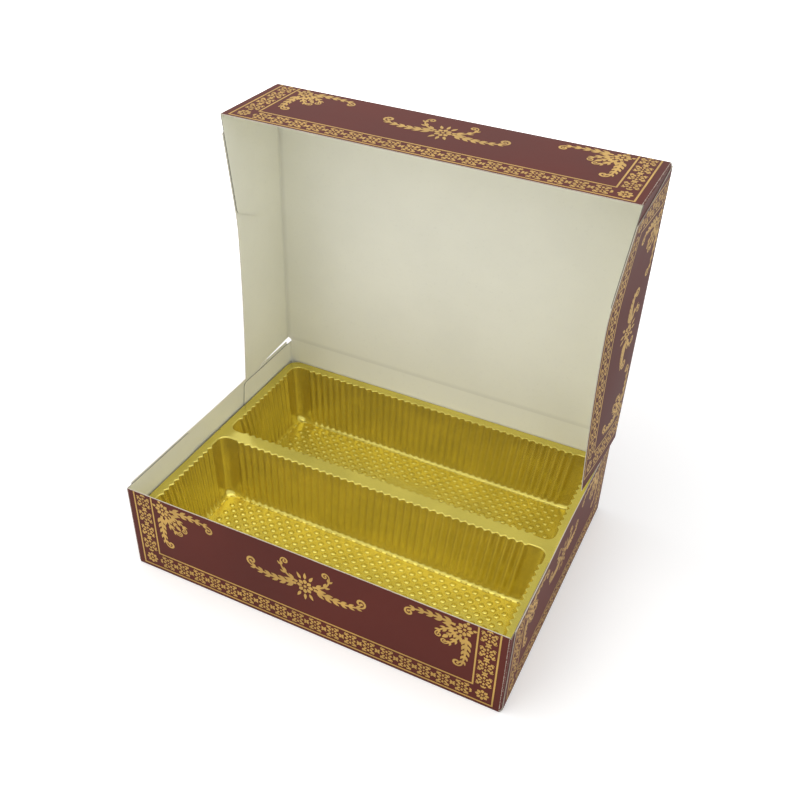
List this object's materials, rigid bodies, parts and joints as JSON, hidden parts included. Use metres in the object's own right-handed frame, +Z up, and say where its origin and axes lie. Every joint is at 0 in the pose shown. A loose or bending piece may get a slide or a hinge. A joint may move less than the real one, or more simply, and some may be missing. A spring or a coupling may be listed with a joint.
{
  "type": "hinged-lid folding carton with tray",
  "caption": "Shallow folded-board sweet carton with a lid hinged along its rear edge, glued corner flaps and a lift-out fluted tray with two compartments.",
  "frame": {"origin": "middle of the underside of the base, on the surface it stands on", "axes": "+X to the right of someone facing the front wall, +Y from the front wall to the hinge, +Z up"},
  "size_m": [0.2558, 0.1926, 0.2576],
  "materials": {
    "printed_board": "semi-gloss print in deep red-brown with gold ornament outside, plain cream board inside",
    "plain_board": "matt uncoated cream board",
    "gold_film": "bright metallised gold film",
    "glue": "thin dried glue film"
  },
  "bodies": {
    "carton_base": {"base_floor": "printed_board", "base_front_wall": "printed_board", "base_rear_wall": "printed_board", "base_left_wall": "printed_board", "base_right_wall": "printed_board", "base_front_left_flap": "plain_board", "base_front_right_flap": "plain_board", "base_rear_left_flap": "plain_board", "base_rear_right_flap": "plain_board", "base_corner_glue": "glue", "hinge_crease": "printed_board"},
    "carton_lid": {"lid_panel": "printed_board", "lid_front_wall": "printed_board", "lid_left_wall": "printed_board", "lid_right_wall": "printed_board", "lid_left_flap": "plain_board", "lid_right_flap": "plain_board", "lid_corner_glue": "glue"},
    "tray": {"sweet_tray": "gold_film"}
  },
  "joints": [
    {"name": "lid_hinge", "type": "hinge", "parent": "carton_base", "child": "carton_lid", "pos_m": [0, 0.096, 0.06455], "axis": [-1, 0, 0], "range_deg": [-90, 109]},
    {"name": "tray_lift", "type": "slide", "parent": "carton_base", "child": "tray", "axis": [0, 0, 1], "range_m": [0, 0.018]}
  ]
}
